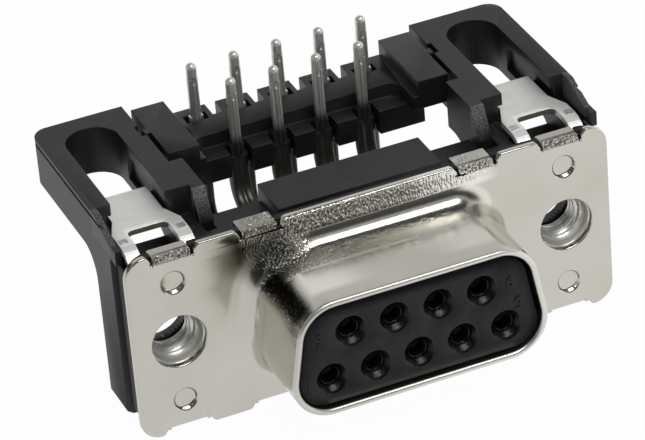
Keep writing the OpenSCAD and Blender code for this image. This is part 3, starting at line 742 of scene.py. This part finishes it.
def add_tab(bm, centre, width, reach, end):
    """A clinch tab bent back from the flange's upper (end 1) or lower (end -1) edge, closed."""
    underside = TAB_TOP - SHEET
    section = arc(TAB_BEND, TAB_FOOT, TAB_BEND, HALF_TURN, QUARTER_TURN, 8)
    section += [(reach - TAB_TIP_EASE, TAB_TOP), (reach, TAB_TOP - TAB_TIP_EASE),
                (reach, underside + TAB_EDGE_EASE), (reach - TAB_EDGE_EASE, underside)]
    section += arc(TAB_BEND, TAB_FOOT, TAB_BEND - SHEET, QUARTER_TURN, HALF_TURN, 3)

    # (place along the width, share drawn in to the middle) of each copy of the section
    edge = 0.5 - TAB_EDGE_EASE / width
    stations = [(-0.5, TAB_SIDE_DRAW), (-edge, 0.0)]
    stations += [(-0.5 + k / 8, 0.0) for k in range(1, 8)]
    stations += [(edge, 0.0), (0.5, TAB_SIDE_DRAW)]
    middle_y = sum(y for y, _ in section) / len(section)
    middle_z = sum(z for _, z in section) / len(section)
    loops = []
    for place, draw in stations:
        loop = []
        for y, z in section:
            y += (middle_y - y) * draw
            z += (middle_z - z) * draw
            loop.append(bm.verts.new(((centre + place * width) * MM, y * MM, end * z * MM)))
        loops.append(loop)
    join_stack(bm, loops)
    bm.faces.new(loops[0])
    bm.faces.new(loops[-1])


settle(drawn_front(), "front_shell")


# ---------- turned inserts ----------

def lathe(bm, profile, x, steps, relief=None):
    """A closed ring turned about the y axis at x; profile is (radius, y), given all the way round.

    The relief, if any, gives what to add to the radius at (y, angle, radius).
    """
    rings = []
    for radius, y in profile:
        ring = []
        for k in range(steps):
            a = FULL_TURN * k / steps
            r = radius + (relief(y, a, radius) if relief else 0.0)
            ring.append(bm.verts.new(((x + r * math.cos(a)) * MM, y * MM, r * math.sin(a) * MM)))
        rings.append(ring)
    join_stack(bm, rings + rings[:1])


def thread_relief(y, angle, radius):
    """How far the thread stands in from its root at a place on the bore, below zero."""
    if radius > THREAD_R or not THREAD_START <= y <= THREAD_END:
        return 0.0
    turn = (y / THREAD_PITCH - angle / FULL_TURN) % 1.0
    rise = 1 - abs(turn - 0.5) * 2
    crest = max(0.0, min(1.0, rise * THREAD_STEEPNESS - THREAD_ROOT_SHARE))
    crest = crest * crest * (3 - 2 * crest)
    lead = min(1.0, (y - THREAD_START) / THREAD_LEAD_IN, (THREAD_END - y) / THREAD_LEAD_OUT)
    return -THREAD_DEPTH * crest * lead


def turned_insert(name, x):
    """A headed insert at x, with a conical mouth and a thread cut in its bore."""
    mouth = [(INSERT_HEAD_R - 0.05, SEAT_Y), (MOUTH_R + 0.05, SEAT_Y),
             (MOUTH_R + 0.02, SEAT_Y + 0.02), (MOUTH_R, SEAT_Y + 0.07),
             (MOUTH_R - 0.06, SEAT_Y + 0.34), (MOUTH_R - 0.13, THREAD_START - 0.14),
             (THREAD_R + 0.05, THREAD_START - 0.08)]
    bore = [(THREAD_R, THREAD_START + (INSERT_REAR - THREAD_START) * k / 72) for k in range(73)]
    outside = [(THREAD_R + 0.08, INSERT_REAR), (INSERT_BODY_R - 0.03, INSERT_REAR),
               (INSERT_BODY_R, INSERT_REAR - 0.05), (INSERT_BODY_R, PLATE_BACK),
               (INSERT_HEAD_R - 0.02, PLATE_BACK), (INSERT_HEAD_R, PLATE_BACK - 0.03),
               (INSERT_HEAD_R, SEAT_Y + 0.03)]
    bm = bmesh.new()
    lathe(bm, mouth + bore + outside, x, 72, thread_relief)
    return new_piece(name, bm, STEEL, 40.0)


for node, x in (("left_insert", -HOLE_X), ("right_insert", HOLE_X)):
    settle(turned_insert(node + "_turned", x), node)


# ---------- socket face, entry sleeves and contact numbers ----------

def entry_places():
    """(x, z) of the nine entries: five in the lower row, then four in the upper one."""
    lower = [((i - 3) * PITCH, -ROW_Z) for i in range(1, 6)]
    return lower + [((i - 7.5) * PITCH, ROW_Z) for i in range(6, 10)]


def socket_block(entries):
    """The insulator with the lower edge of its face let down, and dark glossy entries."""

    def off_axis(spot):
        return min(math.hypot(spot.x / MM - x, spot.z / MM - z) for x, z in entries)

    bm = merged_copy("socket_insulator")
    for vert in bm.verts:
        x, y, z = (part / MM for part in vert.co)
        if y > SEAT_Y - 0.03 or z > LET_DOWN_FROM or off_axis(vert.co) < FUNNEL_R:
            continue
        if abs(x) < SOLID_CORNER_X - 0.01:
            vert.co.x *= FACE_CORNER_X / SOLID_CORNER_X
            vert.co.z -= LET_DOWN * MM
            continue
        a = math.atan2(z - FACE_CORNER_Z, abs(x) - SOLID_CORNER_X)
        vert.co.x = math.copysign(FACE_CORNER_X + FACE_CORNER_R * math.cos(a), x) * MM
        vert.co.z = (FACE_CORNER_Z + FACE_CORNER_R * math.sin(a)) * MM
    for face in bm.faces:
        middle = face.calc_center_median()
        inside = off_axis(middle) < ENTRY_R and face.normal.y > -0.9
        face.material_index = 1 if inside and middle.y < ENTRY_REAR * MM else 0
    piece = new_piece("socket_block", bm, FACE_BLACK, 35.0)
    piece.data.materials.append(ENTRY_BLACK)
    return piece


def one_sleeve():
    """The sleeve of one entry, on the y axis: a rounded lip, a bore and a collar."""
    back, collar = SLEEVE_FRONT + SLEEVE_LENGTH, SLEEVE_FRONT + SLEEVE_COLLAR
    # the rear of the bore lines the front of the contact's own bore in black: painted shade
    profile = [(SLEEVE_LIP_R, SLEEVE_FRONT), (SLEEVE_LIP_R - 0.04, SLEEVE_FRONT + 0.02),
               (SLEEVE_THROAT_R, SLEEVE_FRONT + 0.07),
               (SLEEVE_THROAT_R - 0.01, SLEEVE_FRONT + 0.16),
               (SLEEVE_BORE_R, back), (SLEEVE_THROAT_R, back), (SLEEVE_THROAT_R, collar),
               (SLEEVE_R, collar), (SLEEVE_R, SLEEVE_FRONT + 0.03)]
    bm = bmesh.new()
    lathe(bm, profile, 0.0, 40)
    return new_piece("sleeve_pattern", bm, ENTRY_BLACK, 40.0)


def sleeve_tree():
    """A node group that sets a sleeve on each point, and the identifiers of its two inputs."""
    group = bpy.data.node_groups.new("sleeve_in_each_entry", "GeometryNodeTree")
    face = group.interface
    face.new_socket("Geometry", in_out="INPUT", socket_type="NodeSocketGeometry")
    pattern = face.new_socket("Sleeve", in_out="INPUT", socket_type="NodeSocketObject")
    width = face.new_socket("Width", in_out="INPUT", socket_type="NodeSocketFloat")
    face.new_socket("Geometry", in_out="OUTPUT", socket_type="NodeSocketGeometry")
    tree = Tree(group)
    given = tree.add("NodeGroupInput")
    one = tree.add("GeometryNodeObjectInfo", {}, {"Object": given.out("Sleeve")})
    scale = tree.add("ShaderNodeCombineXYZ", {}, {0: given.out("Width"), 1: 1.0, 2: given.out("Width")})
    rows = tree.add("GeometryNodeInstanceOnPoints", {},
                    {"Points": given.out("Geometry"), "Instance": one.out("Geometry"),
                     "Scale": scale.out()})
    real = tree.add("GeometryNodeRealizeInstances", {}, {"Geometry": rows.out()})
    done = tree.add("GeometryNodeSetMaterial", {}, {"Geometry": real.out(), "Material": ENTRY_BLACK})
    tree.add("NodeGroupOutput", {}, {0: done.out()})
    return group, pattern.identifier, width.identifier


def entry_sleeves(entries):
    """The rounded sleeve that closes in each entry, set out by a node tree."""
    sleeve = one_sleeve()
    mesh = bpy.data.meshes.new("entry_sleeves")
    mesh.from_pydata([(x * MM, 0.0, z * MM) for x, z in entries], [], [])
    piece = in_scene("entry_sleeves", mesh)
    group, pattern, width = sleeve_tree()
    modifier = piece.modifiers.new("sleeves", "NODES")
    modifier.node_group = group
    modifier[pattern] = sleeve
    modifier[width] = 1.0
    apply_modifiers(piece)
    bpy.data.objects.remove(sleeve)
    return piece


def contact_number(text, x, z):
    """A plain raised number beside an end contact, upside down as the socket is mounted."""
    name = "number_" + text
    curve = bpy.data.curves.new(name, "FONT")
    curve.body = text
    curve.size = NUMBER_HEIGHT * MM
    curve.align_x = "CENTER"
    curve.align_y = "CENTER"
    curve.extrude = NUMBER_RISE * MM
    curve.bevel_depth = NUMBER_EDGE * MM
    drawn = in_scene(name, curve)
    mesh = evaluated_mesh(drawn)
    bpy.data.objects.remove(drawn)
    turn = Matrix.Rotation(QUARTER_TURN, 4, "X") @ Matrix.Rotation(HALF_TURN, 4, "Z")
    mesh.transform(Matrix.Translation((x * MM, (FACE_Y - NUMBER_SUNK) * MM, z * MM)) @ turn)
    bm = bmesh.new()
    bm.from_mesh(mesh)
    bmesh.ops.remove_doubles(bm, verts=bm.verts, dist=0.0005 * MM)
    return new_piece(name, bm, ENTRY_BLACK)


settle(socket_block(entry_places()), "socket_insulator")
settle(entry_sleeves(entry_places()))
for text, x, z in NUMBERS:
    settle(contact_number(text, x, z))


# ---------- housing, brackets, straps, spacer and contacts ----------

def widen_rear_hole(bracket):
    """Opens the rear end of the bracket's hole, behind its insert."""
    for vert in bracket.data.vertices:
        x, y, z = (part / MM for part in vert.co)
        from_axis = math.hypot(abs(x) - HOLE_X, z)
        if y > REAR_HOLE_START and from_axis < REAR_HOLE_SOLID_R:
            wider = REAR_HOLE_R / from_axis
            vert.co.x = math.copysign(HOLE_X + (abs(x) - HOLE_X) * wider, x) * MM
            vert.co.z = z * wider * MM


def strap_rests(name, hole_x):
    """Two small ledges of a bracket under the shoulders of its strap."""
    bm = bmesh.new()
    for x in (hole_x - LEDGE_X, hole_x + LEDGE_X):
        ledge = bmesh.ops.create_cube(bm, size=MM)["verts"]
        bmesh.ops.scale(bm, vec=LEDGE_SIZE, verts=ledge)
        bmesh.ops.translate(bm, vec=Vector((x, LEDGE_Y, LEDGE_Z)) * MM, verts=ledge)
    return new_piece(name, bm, BLACK)


# (finish, width of its rounded edges, slot) of each copied solid
EDGES = {
    "rear_housing": (BLACK, 0.04, "black_moulding"),
    "left_bracket": (BRACKET_BLACK, 0.035, "black_moulding"),
    "right_bracket": (BRACKET_BLACK, 0.035, "black_moulding"),
    "pin_spacer": (BLACK, 0.04, "black_moulding"),
    "left_strap": (TIN, 0.06, "matte_tin_strap"),
    "right_strap": (TIN, 0.06, "matte_tin_strap"),
}
for node, (finish, width, slot) in EDGES.items():
    copy = rounded_copy(node, finish, width)
    if finish is BRACKET_BLACK:
        widen_rear_hole(copy)

for name, hole_x in (("left_strap_rests", -HOLE_X), ("right_strap_rests", HOLE_X)):
    settle(strap_rests(name, hole_x))

for number in range(1, 10):
    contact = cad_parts[f"contact_{number}"].data
    contact.materials.clear()
    contact.materials.append(TAILS)


# ---------- camera ----------

# its place in millimetres, the three ways that it faces, and its lens and sensor width
CAMERA_SPOT = (-75.6313, -189.0539, 132.2910)
CAMERA_RIGHT = (0.91364726, -0.39989088, -0.07304768)
CAMERA_DOWN = (-0.27022018, -0.46320082, -0.84405335)
CAMERA_AHEAD = (0.3036935, 0.79090599, -0.53126074)
LENS = 230.47
SENSOR = 36.0

camera_data = bpy.data.cameras.new("camera")
camera_data.sensor_fit = "HORIZONTAL"
camera_data.sensor_width = SENSOR
camera_data.lens = LENS
camera_data.clip_start = 0.01
camera_data.clip_end = 10.0
camera = in_scene("camera", camera_data)
right, down, ahead = Vector(CAMERA_RIGHT), Vector(CAMERA_DOWN), Vector(CAMERA_AHEAD)
turn = Matrix((right, -down, -ahead)).transposed().to_4x4()
camera.matrix_world = Matrix.Translation(Vector(CAMERA_SPOT) * MM) @ turn
bpy.context.scene.camera = camera


# ---------- floor, world and lamps ----------

def emptied(tree):
    """The node tree with none of its nodes left, ready for new ones."""
    tree.nodes.clear()
    return Tree(tree)


def studio_floor():
    """A wide white sheet under the connector that keeps a faint shadow."""
    mesh = bpy.data.meshes.new("floor")
    reach, height = 3.0, cad_low.z - 0.1 * MM
    corners = [(-reach, -reach, height), (reach, -reach, height), (reach, reach, height),
               (-reach, reach, height)]
    mesh.from_pydata(corners, [], [(0, 1, 2, 3)])
    material = bpy.data.materials.new("floor_paper")
    material.use_nodes = True
    tree = emptied(material.node_tree)
    path = tree.add("ShaderNodeLightPath")
    seen = path.out("Is Camera Ray").high(path.out("Is Transmission Ray"))
    mirrored = path.out("Is Glossy Ray") * (1 - seen)
    _, x, y, _ = tree.place()
    to_left = 1 - (x + y * 0.3).step(-90.0, 20.0)
    strength = seen + mirrored * (0.92 - to_left * 0.3)
    paper = tree.add("ShaderNodeBsdfDiffuse", {}, {"Color": rgba(0.9, 0.9, 0.89)})
    glow = tree.add("ShaderNodeEmission", {}, {"Color": rgba(1, 1, 1), "Strength": strength})
    share = seen * 0.97 + mirrored * 0.93
    mixed = tree.add("ShaderNodeMixShader", {}, {0: share, 1: paper.out(), 2: glow.out()})
    tree.add("ShaderNodeOutputMaterial", {}, {0: mixed.out()})
    mesh.materials.append(material)
    in_scene("floor", mesh)


def studio_world():
    """White to the camera; metal sees white paper behind, an open dark room in front."""
    world = bpy.data.worlds.new("studio")
    bpy.context.scene.world = world
    world.use_nodes = True
    tree = emptied(world.node_tree)
    path = tree.add("ShaderNodeLightPath")
    aim = tree.add("ShaderNodeTexCoord").out("Generated")
    axes = tree.add("ShaderNodeSeparateXYZ", {}, {0: aim})
    across, ahead_y, up = axes.out("X"), axes.out("Y"), axes.out("Z")

    # what metal mirrors: the dark room, a gap over the paper and a dark card on the left
    room = (1 - ahead_y.step(-0.35, 0.15)) * up.within(-0.1, 0.62, 0.12)
    room = room * (1 - across.step(0.36, 0.5) * (1 - up.step(0.3, 0.45)))
    gap = up.step(0.66, 0.8)
    card = (1 - across.step(-0.45, -0.2)) * up.within(0.12, 0.56, 0.1) * ahead_y.step(0.1, 0.3)
    right_paper = across.step(0.4, 0.6) * (1 - up.step(0.25, 0.5))
    paper = 0.7 + (1 - up.step(0.0, 0.5)) * 0.18 + right_paper * 0.35
    mirrored = paper * (1 - room.high(gap).high(card) * 0.95)

    soft = 0.42 + up * 0.12
    seen = path.out("Is Camera Ray").high(path.out("Is Transmission Ray"))
    glossy = path.out("Is Glossy Ray")
    strength = seen + (1 - seen) * (glossy * mirrored + (1 - glossy) * soft)
    light = tree.add("ShaderNodeBackground", {}, {"Color": rgba(1, 1, 1), "Strength": strength})
    tree.add("ShaderNodeOutputWorld", {}, {0: light.out()})


def soft_lamp(name, spot, target, width, height, watts):
    """A rectangular soft lamp that faces its target; places in millimetres."""
    data = bpy.data.lights.new(name, "AREA")
    data.shape = "RECTANGLE"
    data.size = width * MM
    data.size_y = height * MM
    data.energy = watts
    lamp = in_scene(name, data)
    place, aim = Vector(spot) * MM, Vector(target) * MM
    lamp.location = place
    lamp.rotation_mode = "QUATERNION"
    lamp.rotation_quaternion = (aim - place).to_track_quat("-Z", "Y")


studio_floor()
studio_world()
soft_lamp("overhead_softbox", spot=(40, -125, 300), target=(0, 4, 0), width=220, height=105,
          watts=0.5)

bpy.context.scene.view_settings.view_transform = "Standard"
